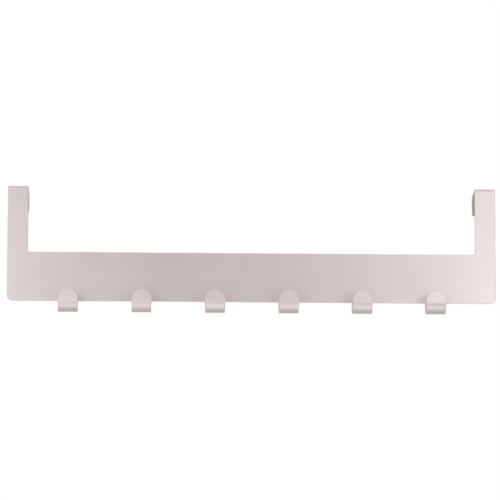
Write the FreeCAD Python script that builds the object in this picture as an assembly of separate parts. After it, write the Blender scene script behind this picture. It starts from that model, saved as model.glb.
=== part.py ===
import FreeCAD, Part
import math
import os

# An over-door hook rail folded from one sheet: a front plate with an arm at each
# end, the arms folded over the door's top edge and down behind it, and a row of
# tabs along the plate's lower edge rolled forward into open hooks.
#
# X runs along the rail, -Y is the front and +Z is up. The origin lies at mid-width
# where the door's front face (Y = 0) meets the door's top edge (Z = 0).

# Sheet, in millimetres like every size here.
SHEET_THICKNESS = 1.5
CUT_EDGE_CHAMFER = 0.3

# Front plate.
OVERALL_WIDTH = 500.0
PLATE_HEIGHT = 120.0
RAIL_HEIGHT = 51.0
ARM_WIDTH = 21.0
OUTER_CORNER_RADIUS = 5.5
INNER_CORNER_RADIUS = 1.5

# Folds over the door.
DOOR_GAP = 40.0
FOLD_INNER_RADIUS = 1.0
BACK_FLANGE_LENGTH = 20.0
BACK_FLANGE_CORNER_RADIUS = 1.5

# Hooks.
HOOK_COUNT = 6
HOOK_PITCH = 75.0
HOOK_WIDTH = 20.0
HOOK_REACH = 30.0
HOOK_INNER_RADIUS = 11.0
HOOK_TIP_RISE = 8.0
HOOK_LEAN = math.radians(8)
HOOK_ROOT_RADIUS = 0.6

# How far a cutting solid stands past what it cuts.
CUT_MARGIN = 5.0

# How close two lengths must be to count as one, and how sharp an edge counts as cut.
SAME_LENGTH = 0.01
SHARP_ANGLE = math.radians(20)

NODE = "hook_rail"

# Levels and bend radii that follow from the sizes above.
PLATE_TOP = SHEET_THICKNESS
PLATE_BOTTOM = PLATE_TOP - PLATE_HEIGHT
RAIL_TOP = PLATE_BOTTOM + RAIL_HEIGHT
FOLD_OUTER_RADIUS = FOLD_INNER_RADIUS + SHEET_THICKNESS
BACK_FLANGE_BOTTOM = PLATE_TOP - BACK_FLANGE_LENGTH

# A hook's front strand leans out by HOOK_LEAN, so its second bend turns by less than a
# right angle. The two bends are at most so large that they meet, with no flat floor.
HOOK_SLOPE = math.tan(HOOK_LEAN)
HOOK_BEND_TANGENT = math.tan((math.pi / 2 - HOOK_LEAN) / 2)
HOOK_LARGEST_BEND = (HOOK_REACH - (HOOK_TIP_RISE + HOOK_ROOT_RADIUS) * HOOK_SLOPE) / (
    1 + HOOK_BEND_TANGENT + HOOK_SLOPE
)
HOOK_OUTER_BEND = min(HOOK_INNER_RADIUS + SHEET_THICKNESS, HOOK_LARGEST_BEND)
HOOK_INNER_BEND = HOOK_OUTER_BEND - SHEET_THICKNESS
HOOK_BOTTOM = PLATE_BOTTOM - HOOK_ROOT_RADIUS - HOOK_OUTER_BEND
HOOK_TIP_TOP = PLATE_BOTTOM + HOOK_TIP_RISE
HOOK_FOOT = HOOK_REACH - (HOOK_TIP_TOP - HOOK_BOTTOM) * HOOK_SLOPE


def rounded_outline(corners):
    """A closed flat wire through (point, radius) corners, each rounded by its radius."""
    starts = []
    arcs = []
    ends = []
    for i, (corner, radius) in enumerate(corners):
        before = corners[i - 1][0] - corner
        after = corners[(i + 1) % len(corners)][0] - corner
        if radius == 0:
            starts.append(corner)
            ends.append(corner)
            arcs.append(None)
            continue
        half_angle = before.getAngle(after) / 2
        before.normalize()
        after.normalize()
        inward = before + after
        inward.normalize()
        tangent_length = radius / math.tan(half_angle)
        middle_offset = radius / math.sin(half_angle) - radius
        start = corner + before * tangent_length
        end = corner + after * tangent_length
        starts.append(start)
        ends.append(end)
        arcs.append(Part.Arc(start, corner + inward * middle_offset, end).toShape())
    edges = []
    for i, arc in enumerate(arcs):
        if arc:
            edges.append(arc)
        next_start = starts[(i + 1) % len(corners)]
        if ends[i].distanceToPoint(next_start) > SAME_LENGTH:
            edges.append(Part.makeLine(ends[i], next_start))
    return Part.Wire(edges)


def strip_from_side(corners, left, width):
    """A solid with a side outline of (y, z, radius) corners, from X = left over a width."""
    outline = rounded_outline(
        [(FreeCAD.Vector(left, y, z), radius) for y, z, radius in corners]
    )
    return Part.Face(outline).extrude(FreeCAD.Vector(width, 0, 0))


def folded_sheet():
    """The full-width sheet: down the door's front, over its top and down its back."""
    back_face = DOOR_GAP + SHEET_THICKNESS
    corners = [
        (-SHEET_THICKNESS, PLATE_BOTTOM, 0),
        (-SHEET_THICKNESS, PLATE_TOP, FOLD_OUTER_RADIUS),
        (back_face, PLATE_TOP, FOLD_OUTER_RADIUS),
        (back_face, BACK_FLANGE_BOTTOM, 0),
        (DOOR_GAP, BACK_FLANGE_BOTTOM, 0),
        (DOOR_GAP, 0, FOLD_INNER_RADIUS),
        (0, 0, FOLD_INNER_RADIUS),
        (0, PLATE_BOTTOM, 0),
    ]
    return strip_from_side(corners, -OVERALL_WIDTH / 2, OVERALL_WIDTH)


def front_outline_prism():
    """The U-shaped front outline of rail and arms, carried back through the whole fold."""
    side = OVERALL_WIDTH / 2
    arm_inside = side - ARM_WIDTH
    front = -SHEET_THICKNESS - CUT_MARGIN
    back = DOOR_GAP + SHEET_THICKNESS + CUT_MARGIN
    above = PLATE_TOP + CUT_MARGIN
    corners = [
        (-side, PLATE_BOTTOM, OUTER_CORNER_RADIUS),
        (side, PLATE_BOTTOM, OUTER_CORNER_RADIUS),
        (side, above, 0),
        (arm_inside, above, 0),
        (arm_inside, RAIL_TOP, INNER_CORNER_RADIUS),
        (-arm_inside, RAIL_TOP, INNER_CORNER_RADIUS),
        (-arm_inside, above, 0),
        (-side, above, 0),
    ]
    outline = rounded_outline(
        [(FreeCAD.Vector(x, front, z), radius) for x, z, radius in corners]
    )
    return Part.Face(outline).extrude(FreeCAD.Vector(0, back - front, 0))


def edges_through_sheet(shape, level):
    """The short edges that cross the sheet, along Y, at one height."""
    found = []
    for edge in shape.Edges:
        box = edge.BoundBox
        crosses = abs(box.YLength - SHEET_THICKNESS) < SAME_LENGTH
        along_y = box.XLength < SAME_LENGTH and box.ZLength < SAME_LENGTH
        if crosses and along_y and abs(box.ZMin - level) < SAME_LENGTH:
            found.append(edge)
    return found


def door_plate():
    """Rail, arms, folds and back flanges, with the flanges' lower corners rounded."""
    plate = folded_sheet().common(front_outline_prism())
    corners = edges_through_sheet(plate, BACK_FLANGE_BOTTOM)
    return plate.makeFillet(BACK_FLANGE_CORNER_RADIUS, corners)


def hook_tip_waste(centre_x):
    """What is trimmed off a hook's leaning front strand to give it a full-round tip."""
    round_radius = HOOK_WIDTH / 2
    round_level = HOOK_TIP_TOP - round_radius
    front = -HOOK_REACH - CUT_MARGIN
    depth = CUT_MARGIN + HOOK_REACH / 2
    block = Part.makeBox(
        HOOK_WIDTH + 2 * CUT_MARGIN,
        depth,
        round_radius + CUT_MARGIN,
        FreeCAD.Vector(centre_x - round_radius - CUT_MARGIN, front, round_level),
    )
    disc = Part.makeCylinder(
        round_radius,
        depth,
        FreeCAD.Vector(centre_x, front, round_level),
        FreeCAD.Vector(0, 1, 0),
    )
    waste = block.cut(disc)
    tip = FreeCAD.Vector(centre_x, -HOOK_REACH, HOOK_TIP_TOP)
    waste.rotate(tip, FreeCAD.Vector(1, 0, 0), math.degrees(HOOK_LEAN))
    return waste


def hook(centre_x):
    """One tab below the rail, rolled forward and up into an open hook that leans out."""
    floor = HOOK_BOTTOM + SHEET_THICKNESS
    tip_back = -HOOK_REACH + SHEET_THICKNESS * math.cos(HOOK_LEAN)
    tip_back_top = HOOK_TIP_TOP + SHEET_THICKNESS * math.sin(HOOK_LEAN)
    floor_front = -HOOK_FOOT + SHEET_THICKNESS * HOOK_BEND_TANGENT
    corners = [
        (0, PLATE_BOTTOM, 0),
        (0, HOOK_BOTTOM, HOOK_OUTER_BEND),
        (-HOOK_FOOT, HOOK_BOTTOM, HOOK_OUTER_BEND),
        (-HOOK_REACH, HOOK_TIP_TOP, 0),
        (tip_back, tip_back_top, 0),
        (floor_front, floor, HOOK_INNER_BEND),
        (-SHEET_THICKNESS, floor, HOOK_INNER_BEND),
        (-SHEET_THICKNESS, PLATE_BOTTOM, 0),
    ]
    strip = strip_from_side(corners, centre_x - HOOK_WIDTH / 2, HOOK_WIDTH)
    return strip.cut(hook_tip_waste(centre_x))


def hook_centres():
    """The hooks' places along X, evenly spaced about the middle."""
    first = -HOOK_PITCH * (HOOK_COUNT - 1) / 2
    return [first + HOOK_PITCH * i for i in range(HOOK_COUNT)]


def hook_root_edges(shape):
    """The inside corners where each hook leaves the rail's lower edge."""
    half_width = HOOK_WIDTH / 2
    sides = [x + side for x in hook_centres() for side in (-half_width, half_width)]
    return [
        edge
        for edge in edges_through_sheet(shape, PLATE_BOTTOM)
        if any(abs(edge.BoundBox.XMin - x) < SAME_LENGTH for x in sides)
    ]


def cut_edges(shape):
    """The sharp edges left where the sheet was cut: those whose two faces meet at an angle."""
    sharp = []
    for edge in shape.Edges:
        faces = shape.ancestorsOfType(edge, Part.Face)
        if len(faces) != 2:
            continue
        middle = edge.valueAt((edge.FirstParameter + edge.LastParameter) / 2)
        normals = [face.normalAt(*face.Surface.parameter(middle)) for face in faces]
        if normals[0].getAngle(normals[1]) > SHARP_ANGLE:
            sharp.append(edge)
    return sharp


def hook_rail():
    """The whole folded sheet as one solid, its cut edges broken by a small chamfer."""
    sheet = door_plate().fuse([hook(x) for x in hook_centres()]).removeSplitter()
    sheet = sheet.makeFillet(HOOK_ROOT_RADIUS, hook_root_edges(sheet))
    return sheet.makeChamfer(CUT_EDGE_CHAMFER, cut_edges(sheet))


os.makedirs("parts", exist_ok=True)
rail = hook_rail()
rail.exportStep(f"parts/{NODE}.step")
print(NODE, "solids", len(rail.Solids), "valid", rail.isValid(), "volume", round(rail.Volume))
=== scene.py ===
"""The looks of an over-door hook rail: one folded sheet of satin steel, its studio and its camera."""

import logging
import math
from collections.abc import Callable
from dataclasses import dataclass, field, replace
from enum import Enum

import bmesh
import bpy
from mathutils import Matrix, Vector


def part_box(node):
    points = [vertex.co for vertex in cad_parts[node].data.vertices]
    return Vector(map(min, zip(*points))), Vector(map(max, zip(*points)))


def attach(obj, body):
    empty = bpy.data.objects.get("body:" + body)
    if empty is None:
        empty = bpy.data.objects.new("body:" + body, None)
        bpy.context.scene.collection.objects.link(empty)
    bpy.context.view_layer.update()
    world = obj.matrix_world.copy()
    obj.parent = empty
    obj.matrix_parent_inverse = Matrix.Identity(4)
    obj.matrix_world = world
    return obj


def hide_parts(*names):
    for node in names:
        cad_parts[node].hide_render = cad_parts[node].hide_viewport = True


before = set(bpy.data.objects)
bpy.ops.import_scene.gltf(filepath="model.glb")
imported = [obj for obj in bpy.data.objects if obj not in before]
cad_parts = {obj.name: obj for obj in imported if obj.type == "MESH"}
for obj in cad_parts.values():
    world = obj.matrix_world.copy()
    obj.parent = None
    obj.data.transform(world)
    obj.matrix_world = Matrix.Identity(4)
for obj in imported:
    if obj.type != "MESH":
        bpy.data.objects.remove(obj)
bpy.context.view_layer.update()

NODE = "hook_rail"
BODY = "root"
MILLIMETRE = 0.001
QUARTER_TURN = math.pi / 2

# Limits of the sheet work, in metres and radians. Places nearer than SAME_PLACE count as one when an
# edge or corner is picked, and a vertex turns with a fold's line if it lies more than PAST_LINE beyond it.
SAME_PLACE = 1e-5
PAST_LINE = 1e-7
WELD_DISTANCE = 1e-7
SCORE_THRESHOLD = 1e-8
FLAT_ANGLE = math.radians(1)
SHARP_ANGLE = math.radians(45)

# Nearly all of a noise's values lie between these two.
NOISE_LOW = 0.3
NOISE_HIGH = 0.7

Triple = tuple[float, float, float]
PlaceTest = Callable[[Vector], bool]
Socket = bpy.types.NodeSocket

log = logging.getLogger("hook_rail")


class Strip(Enum):
    """The two kinds of strip that stick out of the flat rail, by the way they run from it."""

    ARM = 1
    HOOK = -1


class Blend(Enum):
    """The kinds of value that a Mix node blends, each with the numbers of its sockets A, B and result."""

    LEVEL = ("FLOAT", 2, 3, 0)
    COLOUR = ("RGBA", 6, 7, 2)


def add_blend(tree: bpy.types.NodeTree, kind: Blend, factor: Socket) -> tuple[Socket, Socket, Socket]:
    """Add a Mix node, whose sockets of one kind share their names with those of other kinds.

    Args:
        tree: The node tree.
        kind: The kind of value that is blended.
        factor: Goes from 0, which is all A, to 1, which is all B.

    Returns:
        The sockets A and B, and the result's.
    """
    data_type, first, second, result = kind.value
    node = tree.nodes.new("ShaderNodeMix")
    node.data_type = data_type
    tree.links.new(factor, node.inputs["Factor"])
    return node.inputs[first], node.inputs[second], node.outputs[result]


@dataclass(frozen=True)
class Fold:
    """One round fold across a strip, made as a row of small turns.

    Attributes:
        start: Level in the flat blank at which the fold begins.
        strip: The kind of strip that is folded.
        radius: Radius of the blank's own skin in the fold.
        turn: The whole angle of the fold.
        steps: Number of flat facets that stand for the round.
    """

    start: float
    strip: Strip
    radius: float
    turn: float
    steps: int

    def levels(self) -> list[float]:
        """Return the levels of the fold's lines in the flat blank, the rail's side first."""
        facet = 2 * self.radius * math.sin(self.turn / self.steps / 2)
        return [self.start + self.strip.value * facet * i for i in range(self.steps + 1)]

    def end(self) -> float:
        """Return the level in the flat blank at which the fold ends."""
        return self.levels()[-1]

    def turns(self) -> list[float]:
        """Return the turn at each line: half a step at both ends, so that the round meets flat faces."""
        step = self.turn / self.steps
        return [step / 2] + [step] * (self.steps - 1) + [step / 2]


class SheetBench:
    """Works on one sheet of metal with the edit mode's own tools.

    Attributes:
        piece: The object that holds the sheet.
    """

    def __init__(self, name: str, width: float, bottom: float, top: float) -> None:
        """Start from a flat upright rectangle that faces the door.

        Args:
            name: Name of the piece.
            width: Width of the rectangle, centred on X = 0.
            bottom: Level of its lower edge.
            top: Level of its upper edge.
        """
        bpy.ops.object.select_all(action="DESELECT")
        bpy.ops.mesh.primitive_plane_add(
            size=1,
            location=(0, 0, (bottom + top) / 2),
            rotation=(-QUARTER_TURN, 0, 0),
        )
        self.piece: bpy.types.Object = bpy.context.object
        self.piece.name = name
        self.piece.data.name = name
        self.piece.scale = (width, top - bottom, 1)
        bpy.ops.object.transform_apply(location=True, rotation=True, scale=True)
        bpy.ops.object.mode_set(mode="EDIT")

    def select(self, kind: str, test: PlaceTest) -> None:
        """Select the vertices or edges whose middle passes a test, and nothing else.

        Args:
            kind: VERT or EDGE.
            test: Takes a place and says whether it is wanted.
        """
        bpy.ops.mesh.select_mode(type=kind)
        bpy.ops.mesh.select_all(action="DESELECT")
        mesh = bmesh.from_edit_mesh(self.piece.data)
        if kind == "VERT":
            chosen = [v for v in mesh.verts if test(v.co)]
        else:
            chosen = [e for e in mesh.edges if test((e.verts[0].co + e.verts[1].co) / 2)]
        for part in chosen:
            part.select_set(True)
        bmesh.update_edit_mesh(self.piece.data)

    def score(self, place: Triple, normal: Triple) -> None:
        """Cut a line across the whole sheet where a plane meets it.

        Args:
            place: A point of the plane.
            normal: The plane's normal.
        """
        bpy.ops.mesh.select_all(action="SELECT")
        bpy.ops.mesh.bisect(plane_co=place, plane_no=normal, threshold=SCORE_THRESHOLD)

    def pull(self, test: PlaceTest, rise: float) -> None:
        """Extrude the edges that pass a test up or down, in the sheet's own plane.

        Args:
            test: Takes an edge's middle and says whether it is pulled.
            rise: How far it goes, negative for down.
        """
        self.select("EDGE", test)
        bpy.ops.mesh.extrude_region_move(TRANSFORM_OT_translate={"value": (0, 0, rise)})

    def make_one_face(self) -> None:
        """Clear the lines inside the flat sheet and turn its one face towards the door."""
        bpy.ops.mesh.select_all(action="SELECT")
        bpy.ops.mesh.normals_make_consistent(inside=False)
        bpy.ops.mesh.dissolve_limited(angle_limit=FLAT_ANGLE)
        mesh = bmesh.from_edit_mesh(self.piece.data)
        mesh.faces.ensure_lookup_table()
        if mesh.faces[0].normal.y < 0:
            bpy.ops.mesh.flip_normals()

    def round_corners(self, test: PlaceTest, radius: float, segments: int) -> None:
        """Round the outline's corners that pass a test.

        Args:
            test: Takes a corner's place and says whether it is rounded.
            radius: Radius of the round.
            segments: Number of straight runs in it.
        """
        self.select("VERT", test)
        bpy.ops.mesh.bevel(offset=radius, segments=segments, affect="VERTICES", clamp_overlap=False)

    def weld(self) -> None:
        """Merge the vertices that share a place, as where the two rounds of a hook's tip meet."""
        bpy.ops.mesh.select_all(action="SELECT")
        bpy.ops.mesh.remove_doubles(threshold=WELD_DISTANCE)

    def fold(self, folds: list[Fold]) -> None:
        """Score every fold's lines, then turn the sheet at each, from the strips' ends inwards.

        Args:
            folds: The folds, in any order. What lies beyond a line turns with it as one.
        """
        for fold in folds:
            for level in fold.levels():
                self.score((0, 0, level), (0, 0, 1))
        mesh = bmesh.from_edit_mesh(self.piece.data)
        flat_levels = [v.co.z for v in mesh.verts]
        lines = [
            (level, turn, fold.strip)
            for fold in folds
            for level, turn in zip(fold.levels(), fold.turns())
        ]
        for level, turn, strip in sorted(lines, key=lambda line: -line[0] * line[2].value):
            self.turn_beyond(flat_levels, level, turn, strip)

    def turn_beyond(self, flat_levels: list[float], level: float, turn: float, strip: Strip) -> None:
        """Turn what lies beyond one line about that line.

        Args:
            flat_levels: Each vertex's level in the flat blank.
            level: The line's level there.
            turn: The angle.
            strip: Which kind of strip the line crosses, which says which side is beyond.
        """
        bpy.ops.mesh.select_mode(type="VERT")
        bpy.ops.mesh.select_all(action="DESELECT")
        mesh = bmesh.from_edit_mesh(self.piece.data)
        for vertex, flat in zip(mesh.verts, flat_levels):
            if (flat - level) * strip.value > PAST_LINE:
                vertex.select_set(True)
        mesh.select_flush(True)
        bmesh.update_edit_mesh(self.piece.data)
        bpy.ops.transform.rotate(
            value=turn,
            orient_axis="X",
            orient_type="GLOBAL",
            center_override=(0, 0, level),
        )

    def finish(self, sheet: float, edge_round: float, edge_segments: int) -> bpy.types.Object:
        """Give the folded skin its thickness, away from the door, and round its cut edges.

        Args:
            sheet: Thickness of the metal.
            edge_round: Radius of the round on each cut edge.
            edge_segments: Number of facets in that round.

        Returns:
            The finished piece, whose cut edges take its second material.
        """
        bpy.ops.object.mode_set(mode="OBJECT")
        thickness = self.piece.modifiers.new("thickness", "SOLIDIFY")
        thickness.thickness = sheet
        thickness.offset = -1
        thickness.use_even_offset = True
        thickness.use_rim = True
        thickness.material_offset_rim = 1
        rounds = self.piece.modifiers.new("broken_edges", "BEVEL")
        rounds.width = edge_round
        rounds.segments = edge_segments
        rounds.limit_method = "ANGLE"
        rounds.angle_limit = SHARP_ANGLE
        rounds.use_clamp_overlap = False
        rounds.miter_outer = "MITER_ARC"
        normals = self.piece.modifiers.new("flat_faces", "WEIGHTED_NORMAL")
        normals.keep_sharp = True
        bpy.ops.object.shade_smooth()
        for name in [modifier.name for modifier in self.piece.modifiers]:
            bpy.ops.object.modifier_apply(modifier=name)
        return self.piece


@dataclass(frozen=True)
class SatinSteel:
    """Fine satin finish on a pale, slightly warm steel sheet.

    Attributes:
        name: Name of the material.
        colour: Colour of the metal.
        shade: Colour of its faint darker clouds.
        roughness: Roughness of the satin face.
        roughness_spread: How far the roughness wanders to either side of that value.
        cloud_scale: Clouds in the tone per metre.
        cloud_detail: Layers of finer clouds.
        grain_scale: Lines of the fine grain per metre, across the rolling direction.
        grain_stretch: How many times longer the grain is along X, the rolling direction.
        grain_detail: Layers of finer grain.
        grain_height: Depth of the grain, in metres.
        pit_scale: Tiny pits of the satin blasting per metre.
        pit_detail: Layers of finer pits.
        pit_height: Depth of the pits, in metres.
    """

    name: str = "satin_steel"
    colour: Triple = (0.79, 0.71, 0.69)
    shade: Triple = (0.755, 0.675, 0.655)
    roughness: float = 0.40
    roughness_spread: float = 0.03
    cloud_scale: float = 14.0
    cloud_detail: float = 3.0
    grain_scale: float = 1400.0
    grain_stretch: float = 40.0
    grain_detail: float = 2.0
    grain_height: float = 0.000004
    pit_scale: float = 2600.0
    pit_detail: float = 2.0
    pit_height: float = 0.000003

    @staticmethod
    def noise(tree: bpy.types.NodeTree, place: Socket, scale: Triple, detail: float) -> Socket:
        """Add a noise that reads the piece's own coordinates.

        Args:
            tree: The material's node tree.
            place: The socket with the coordinates.
            scale: Bumps per metre along each axis.
            detail: Number of finer layers.

        Returns:
            The noise's value socket.
        """
        mapping = tree.nodes.new("ShaderNodeMapping")
        mapping.inputs["Scale"].default_value = scale
        tree.links.new(place, mapping.inputs["Vector"])
        noise = tree.nodes.new("ShaderNodeTexNoise")
        noise.inputs["Scale"].default_value = 1.0
        noise.inputs["Detail"].default_value = detail
        tree.links.new(mapping.outputs["Vector"], noise.inputs["Vector"])
        return noise.outputs["Fac"]

    @staticmethod
    def bump(tree: bpy.types.NodeTree, height: Socket, depth: float, under: Socket | None) -> Socket:
        """Turn a height into a shading normal.

        Args:
            tree: The material's node tree.
            height: The height, from 0 to 1.
            depth: The real depth of that range, in metres.
            under: A normal that this one is laid over, or None.

        Returns:
            The normal's socket.
        """
        bump = tree.nodes.new("ShaderNodeBump")
        bump.inputs["Strength"].default_value = 1.0
        bump.inputs["Distance"].default_value = depth
        tree.links.new(height, bump.inputs["Height"])
        if under is not None:
            tree.links.new(under, bump.inputs["Normal"])
        return bump.outputs["Normal"]

    @staticmethod
    def spread(tree: bpy.types.NodeTree, value: Socket, low: float, high: float) -> Socket:
        """Map the middle of a noise's range to a range of its own.

        Args:
            tree: The material's node tree.
            value: The noise.
            low: What its low end becomes.
            high: What its high end becomes.

        Returns:
            The mapped value's socket.
        """
        node = tree.nodes.new("ShaderNodeMapRange")
        node.inputs["From Min"].default_value = NOISE_LOW
        node.inputs["From Max"].default_value = NOISE_HIGH
        node.inputs["To Min"].default_value = low
        node.inputs["To Max"].default_value = high
        tree.links.new(value, node.inputs["Value"])
        return node.outputs["Result"]

    def build(self) -> bpy.types.Material:
        """Make the material.

        Returns:
            The finished material.
        """
        material = bpy.data.materials.new(self.name)
        material.use_nodes = True
        tree = material.node_tree
        shader = tree.nodes["Principled BSDF"]
        shader.inputs["Metallic"].default_value = 1.0
        place = tree.nodes.new("ShaderNodeTexCoord").outputs["Object"]

        clouds = self.noise(tree, place, (self.cloud_scale,) * 3, self.cloud_detail)
        dark, pale, tone = add_blend(tree, Blend.COLOUR, self.spread(tree, clouds, 0.0, 1.0))
        dark.default_value = (*self.shade, 1)
        pale.default_value = (*self.colour, 1)
        tree.links.new(tone, shader.inputs["Base Color"])

        across = self.grain_scale
        grain = self.noise(tree, place, (across / self.grain_stretch, across, across), self.grain_detail)
        low = self.roughness - self.roughness_spread
        high = self.roughness + self.roughness_spread
        tree.links.new(self.spread(tree, grain, low, high), shader.inputs["Roughness"])

        pits = self.noise(tree, place, (self.pit_scale,) * 3, self.pit_detail)
        pitted = self.bump(tree, pits, self.pit_height, None)
        tree.links.new(self.bump(tree, grain, self.grain_height, pitted), shader.inputs["Normal"])
        return material


@dataclass(frozen=True)
class Facets:
    """How many flat facets stand for each kind of round.

    Attributes:
        door_fold: In a fold over the door.
        hook_bend: In one of a hook's two bends.
        outer_corner: In a lower corner of the rail.
        small_corner: Where an arm meets the rail, and in a back flange's corner.
        hook_root: Where one side of a hook leaves the rail.
        hook_tip: In one half of a hook's round tip.
        cut_edge: Across the round of a cut edge.
    """

    door_fold: int = 6
    hook_bend: int = 18
    outer_corner: int = 14
    small_corner: int = 8
    hook_root: int = 6
    hook_tip: int = 20
    cut_edge: int = 3


@dataclass
class FoldedHookRail:
    """The rail, its two arms over the door and its six hooks, all one folded sheet.

    Attributes:
        sheet: Thickness of the metal.
        plate_height: From the arms' tops to the rail's lower edge.
        rail_height: Height of the rail's own band.
        arm_width: Width of each arm.
        outer_corner: Radius of the rail's lower corners.
        inner_corner: Radius where an arm meets the rail.
        door_fold: Inside radius of the folds over the door.
        flange_length: From the arms' tops down to the back flanges' ends.
        flange_corner: Radius of the back flanges' corners.
        hook_count: Number of hooks.
        hook_pitch: Distance between hooks.
        hook_width: Width of each hook.
        hook_reach: How far a hook's tip stands out in front of the door.
        hook_rise: How far that tip stands above the rail's lower edge.
        hook_lean: How far a hook's front strand leans out, as an angle.
        hook_root: Radius where a hook leaves the rail, and the drop before its bend.
        edge_round: Radius of the round on each cut edge.
        facets: How finely each round is made.
        face: Finish of the sheet's faces.
        cut_edge: Finish of its cut edges, a little smoother and paler.
        half_width: From the middle to the rail's ends, as in the frame.
        arm_inside: From the middle to an arm's inner edge.
        rail_bottom: Level of the rail's lower edge.
        rail_top: Level of the rail's upper edge.
        door_gap: Room for the door, from the rail to the back flanges, as in the frame.
        flange_bottom: Level of the back flanges' ends.
        hook_bend: Radius of the blank's own skin in a hook's bends, as in the frame.
        hook_height: From a hook's lowest point to its tip.
    """

    sheet: float = 1.5 * MILLIMETRE
    plate_height: float = 120 * MILLIMETRE
    rail_height: float = 51 * MILLIMETRE
    arm_width: float = 21 * MILLIMETRE
    outer_corner: float = 5.5 * MILLIMETRE
    inner_corner: float = 1.5 * MILLIMETRE
    door_fold: float = 1 * MILLIMETRE
    flange_length: float = 20 * MILLIMETRE
    flange_corner: float = 1.5 * MILLIMETRE
    hook_count: int = 6
    hook_pitch: float = 75 * MILLIMETRE
    hook_width: float = 20 * MILLIMETRE
    hook_reach: float = 30 * MILLIMETRE
    hook_rise: float = 8 * MILLIMETRE
    hook_lean: float = math.radians(8)
    hook_root: float = 0.6 * MILLIMETRE
    edge_round: float = 0.5 * MILLIMETRE
    facets: Facets = field(default_factory=Facets)
    face: SatinSteel = field(default_factory=SatinSteel)
    cut_edge: SatinSteel = field(
        default_factory=lambda: SatinSteel(
            name="satin_steel_cut_edge",
            colour=(0.80, 0.73, 0.71),
            shade=(0.76, 0.69, 0.67),
            roughness=0.36,
        )
    )
    half_width: float = field(init=False)
    arm_inside: float = field(init=False)
    rail_bottom: float = field(init=False)
    rail_top: float = field(init=False)
    door_gap: float = field(init=False)
    flange_bottom: float = field(init=False)
    hook_bend: float = field(init=False)
    hook_height: float = field(init=False)

    def __post_init__(self) -> None:
        """Work out the levels and reaches from the frame's box and the sizes."""
        low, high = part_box(NODE)
        self.half_width = high.x
        self.arm_inside = self.half_width - self.arm_width
        self.rail_bottom = high.z - self.plate_height
        self.rail_top = self.rail_bottom + self.rail_height
        self.door_gap = high.y - self.sheet
        self.flange_bottom = high.z - self.flange_length
        self.hook_bend = self.rail_bottom - self.hook_root - low.z
        self.hook_height = self.rail_bottom + self.hook_rise - low.z

    def hook_centres(self) -> list[float]:
        """Return the hooks' places along X."""
        first = -self.hook_pitch * (self.hook_count - 1) / 2
        return [first + self.hook_pitch * i for i in range(self.hook_count)]

    def door_folds(self) -> list[Fold]:
        """Lay out the two folds that take an arm over the door and down behind it.

        Returns:
            The folds, the rail's side first.
        """
        across = self.door_gap - 2 * self.door_fold
        first = Fold(-self.door_fold, Strip.ARM, self.door_fold, QUARTER_TURN, self.facets.door_fold)
        return [first, replace(first, start=first.end() + across)]

    def hook_folds(self) -> list[Fold]:
        """Lay out the two folds that roll a hook forward and up, the second short by the lean.

        Returns:
            The folds, the rail's side first.
        """
        start = self.rail_bottom - self.hook_root
        first = Fold(start, Strip.HOOK, self.hook_bend, QUARTER_TURN, self.facets.hook_bend)
        turn = QUARTER_TURN - self.hook_lean
        foot = self.hook_reach - self.hook_height * math.tan(self.hook_lean)
        across = foot - self.hook_bend * (1 + math.tan(turn / 2))
        return [first, replace(first, start=first.end() - across, turn=turn)]

    def arm_end(self) -> float:
        """Return the level of an arm strip's end in the flat blank."""
        back_leg = -self.door_fold - self.flange_bottom
        return self.door_folds()[-1].end() + back_leg

    def hook_end(self) -> float:
        """Work out where a hook tab ends in the flat blank, past the straight run to its tip.

        Returns:
            The level of that end.
        """
        turn = QUARTER_TURN - self.hook_lean
        tip_leg = self.hook_height / math.cos(self.hook_lean) - self.hook_bend * math.tan(turn / 2)
        return self.hook_folds()[-1].end() - tip_leg

    def pull_strips(self, bench: SheetBench) -> None:
        """Pull the arm strips up and the hook tabs down from the rail's scored edges.

        Args:
            bench: The bench with the rail's band on it.
        """
        bench.pull(
            lambda p: abs(p.z - self.rail_top) < SAME_PLACE and abs(p.x) > self.arm_inside,
            self.arm_end() - self.rail_top,
        )
        bench.pull(
            lambda p: abs(p.z - self.rail_bottom) < SAME_PLACE
            and any(abs(p.x - centre) < SAME_PLACE for centre in self.hook_centres()),
            self.hook_end() - self.rail_bottom,
        )

    def round_blank(self, bench: SheetBench) -> None:
        """Round the flat blank's corners: the rail's, the arms' and the hooks'.

        Args:
            bench: The bench with the flat blank on it.
        """
        tab_half = self.hook_width / 2

        def at(x: float, z: float) -> PlaceTest:
            """Return a test for the pair of corners at a distance from the middle and a level."""
            return lambda p: abs(abs(p.x) - x) < SAME_PLACE and abs(p.z - z) < SAME_PLACE

        def at_tabs(z: float) -> PlaceTest:
            """Return a test for both corners of every hook tab at a level."""
            return lambda p: abs(p.z - z) < SAME_PLACE and any(
                abs(abs(p.x - centre) - tab_half) < SAME_PLACE for centre in self.hook_centres()
            )

        facets = self.facets
        bench.round_corners(at(self.half_width, self.rail_bottom), self.outer_corner, facets.outer_corner)
        bench.round_corners(at(self.arm_inside, self.rail_top), self.inner_corner, facets.small_corner)
        for side in (self.half_width, self.arm_inside):
            bench.round_corners(at(side, self.arm_end()), self.flange_corner, facets.small_corner)
        bench.round_corners(at_tabs(self.rail_bottom), self.hook_root, facets.hook_root)
        bench.round_corners(at_tabs(self.hook_end()), tab_half, facets.hook_tip)
        bench.weld()

    def cut_blank(self) -> SheetBench:
        """Cut the flat blank: the rail's band with its arm strips up and its hook tabs down.

        Returns:
            The bench with the flat blank on it.
        """
        bench = SheetBench("folded_hook_rail", 2 * self.half_width, self.rail_bottom, self.rail_top)
        tab_half = self.hook_width / 2
        sides = [-self.arm_inside, self.arm_inside]
        for centre in self.hook_centres():
            sides += [centre - tab_half, centre + tab_half]
        for side in sides:
            bench.score((side, 0, 0), (1, 0, 0))
        self.pull_strips(bench)
        bench.make_one_face()
        self.round_blank(bench)
        return bench

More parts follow.
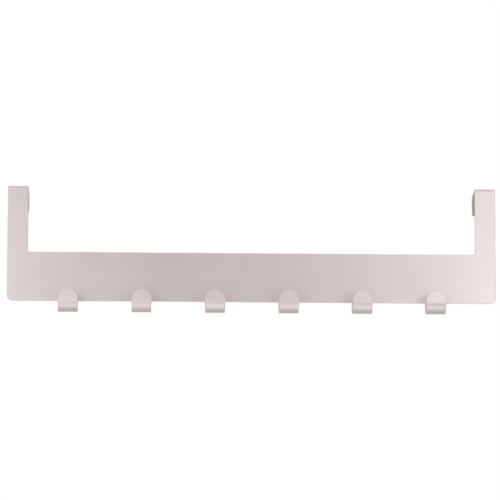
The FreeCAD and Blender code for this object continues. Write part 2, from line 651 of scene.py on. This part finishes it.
    def build(self) -> bpy.types.Object:
        """Cut, fold and finish the sheet, and stand it in for the frame's node.

        Returns:
            The finished piece.
        """
        bench = self.cut_blank()
        bench.fold(self.door_folds() + self.hook_folds())
        piece = bench.finish(self.sheet, self.edge_round, self.facets.cut_edge)
        piece.data.materials.clear()
        piece.data.materials.append(self.face.build())
        piece.data.materials.append(self.cut_edge.build())
        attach(piece, BODY)
        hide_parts(NODE)
        return piece


@dataclass(frozen=True)
class Softbox:
    """A square area lamp that points at the rail, or at a place of its own.

    Attributes:
        name: Name of the lamp.
        place: Where it stands.
        side: Length of its sides.
        power: Its power in watts.
        aim: What it points at.
    """

    name: str
    place: Triple
    side: float
    power: float
    aim: Triple = (0.0, 0.0, -0.065)

    def build(self) -> bpy.types.Object:
        """Make the lamp.

        Returns:
            The lamp.
        """
        data = bpy.data.lights.new(self.name, "AREA")
        data.shape = "SQUARE"
        data.size = self.side
        data.energy = self.power
        lamp = bpy.data.objects.new(self.name, data)
        bpy.context.scene.collection.objects.link(lamp)
        lamp.visible_camera = False
        lamp.location = self.place
        lamp.rotation_euler = (Vector(self.aim) - lamp.location).to_track_quat("-Z", "Y").to_euler()
        return lamp


@dataclass
class Studio:
    """A pale floor, a white field behind the rail, a grey room in front of it and soft lamps.

    Attributes:
        floor_level: Height of the floor, two metres below the top of the door.
        floor_side: Length of the floor's sides.
        floor_tone: Tone of the floor.
        floor_roughness: Roughness of the floor.
        floor_gloss: Strength of the floor's faint gloss.
        room_level: Brightness of the room at the horizon.
        ceiling_level: Brightness of the room overhead.
        field_level: Brightness of the white field.
        field_edge: The Y part of a direction at which the field begins, straight back being 1.
        field_full: The Y part at which the field is all white.
        lamps: The soft lamps.
    """

    floor_level: float = -2.0
    floor_side: float = 60.0
    floor_tone: float = 0.84
    floor_roughness: float = 0.9
    floor_gloss: float = 0.2
    room_level: float = 0.25
    ceiling_level: float = 0.84
    field_level: float = 1.0
    field_edge: float = 0.80
    field_full: float = 0.95
    lamps: tuple[Softbox, ...] = (
        Softbox("floor_wash", (0.0, -0.8, -1.0), 0.80, 10.0, (0.0, -0.8, -2.0)),
        Softbox("near_left_softbox", (-0.50, -0.70, 0.0), 0.35, 0.78),
        Softbox("near_right_softbox", (0.50, -0.70, 0.0), 0.35, 0.56),
        Softbox("low_left_softbox", (-0.52, -1.11, -0.32), 0.40, 0.82),
        Softbox("low_right_softbox", (0.52, -1.11, -0.32), 0.40, 1.26),
        Softbox("low_front_softbox", (-0.19, -1.07, -0.69), 0.40, 0.30),
        Softbox("high_left_softbox", (-0.46, -0.98, 0.56), 0.40, 0.51),
        Softbox("high_right_softbox", (0.30, -0.90, 0.20), 0.30, 0.30),
    )

    def build_floor(self) -> bpy.types.Object:
        """Make the plain pale floor.

        Returns:
            The floor.
        """
        bpy.ops.object.select_all(action="DESELECT")
        bpy.ops.mesh.primitive_plane_add(size=self.floor_side, location=(0, 0, self.floor_level))
        floor = bpy.context.object
        floor.name = "floor"
        bpy.ops.object.transform_apply(location=True, rotation=True, scale=True)
        material = bpy.data.materials.new("pale_floor")
        material.use_nodes = True
        shader = material.node_tree.nodes["Principled BSDF"]
        shader.inputs["Base Color"].default_value = (self.floor_tone,) * 3 + (1,)
        shader.inputs["Roughness"].default_value = self.floor_roughness
        shader.inputs["Specular IOR Level"].default_value = self.floor_gloss
        floor.data.materials.append(material)
        return floor

    def build_room(self) -> bpy.types.World:
        """Make the world: grey at the horizon, pale overhead and white behind the rail.

        Returns:
            The world.
        """
        world = bpy.data.worlds.new("studio_room")
        world.use_nodes = True
        tree = world.node_tree
        background = tree.nodes["Background"]
        direction = tree.nodes.new("ShaderNodeTexCoord").outputs["Generated"]
        parts = tree.nodes.new("ShaderNodeSeparateXYZ")
        tree.links.new(direction, parts.inputs["Vector"])

        height = tree.nodes.new("ShaderNodeMapRange")
        height.inputs["From Min"].default_value = 0.0
        height.inputs["From Max"].default_value = 1.0
        height.inputs["To Min"].default_value = self.room_level
        height.inputs["To Max"].default_value = self.ceiling_level
        tree.links.new(parts.outputs["Z"], height.inputs["Value"])

        behind = tree.nodes.new("ShaderNodeMapRange")
        behind.interpolation_type = "SMOOTHSTEP"
        behind.inputs["From Min"].default_value = self.field_edge
        behind.inputs["From Max"].default_value = self.field_full
        tree.links.new(parts.outputs["Y"], behind.inputs["Value"])

        room, white, level = add_blend(tree, Blend.LEVEL, behind.outputs["Result"])
        tree.links.new(height.outputs["Result"], room)
        white.default_value = self.field_level
        tree.links.new(level, background.inputs["Strength"])
        background.inputs["Color"].default_value = (1, 1, 1, 1)
        bpy.context.scene.world = world
        return world

    def build(self) -> list[bpy.types.Object]:
        """Build the whole studio.

        Returns:
            The floor and the lamps.
        """
        self.build_room()
        return [self.build_floor()] + [lamp.build() for lamp in self.lamps]


@dataclass(frozen=True)
class PhotoCamera:
    """A long lens a little below the rail, at the photograph's angle.

    Attributes:
        azimuth: How far the lens looks to the right of straight on, in degrees.
        elevation: How far it looks up, in degrees.
        roll: How far the camera leans, in degrees.
        distance: From the lens to the point it looks at.
        focal_length: In millimetres, on the sensor below.
        sensor: Width of the sensor in millimetres.
        far_limit: How far the camera sees, past the floor's farthest corner.
        aim: The point at the picture's middle.
    """

    azimuth: float = 1.386
    elevation: float = 11.101
    roll: float = 0.160
    distance: float = 5.0893
    focal_length: float = 357.64
    sensor: float = 36.0
    far_limit: float = 100.0
    aim: Triple = (-0.00169, 0.0, -0.06385)

    def build(self) -> bpy.types.Object:
        """Make the camera and give it to the scene.

        Returns:
            The camera.
        """
        azimuth = math.radians(self.azimuth)
        elevation = math.radians(self.elevation)
        view = Vector(
            (
                math.sin(azimuth) * math.cos(elevation),
                math.cos(azimuth) * math.cos(elevation),
                math.sin(elevation),
            )
        )
        level_right = Vector((math.cos(azimuth), -math.sin(azimuth), 0))
        level_up = level_right.cross(view)
        turn = Matrix.Rotation(-math.radians(self.roll), 3, view)
        right = turn @ level_right
        up = turn @ level_up
        data = bpy.data.cameras.new("photo_camera")
        data.sensor_width = self.sensor
        data.lens = self.focal_length
        data.clip_end = self.far_limit
        camera = bpy.data.objects.new("photo_camera", data)
        camera.location = Vector(self.aim) - view * self.distance
        camera.rotation_euler = Matrix((right, up, -view)).transposed().to_euler()
        bpy.context.scene.collection.objects.link(camera)
        bpy.context.scene.camera = camera
        return camera


def main() -> None:
    """Build the hook rail, the studio and the camera, and report each piece."""
    logging.basicConfig(level=logging.INFO, format="%(name)s: %(message)s")
    bpy.context.scene.view_settings.view_transform = "Standard"
    piece = FoldedHookRail().build()
    log.info("%s: %d vertices, %d faces", piece.name, len(piece.data.vertices), len(piece.data.polygons))
    for stage_piece in Studio().build():
        log.info("%s in place", stage_piece.name)
    log.info("%s in place", PhotoCamera().build().name)


if __name__ == "__main__":
    main()
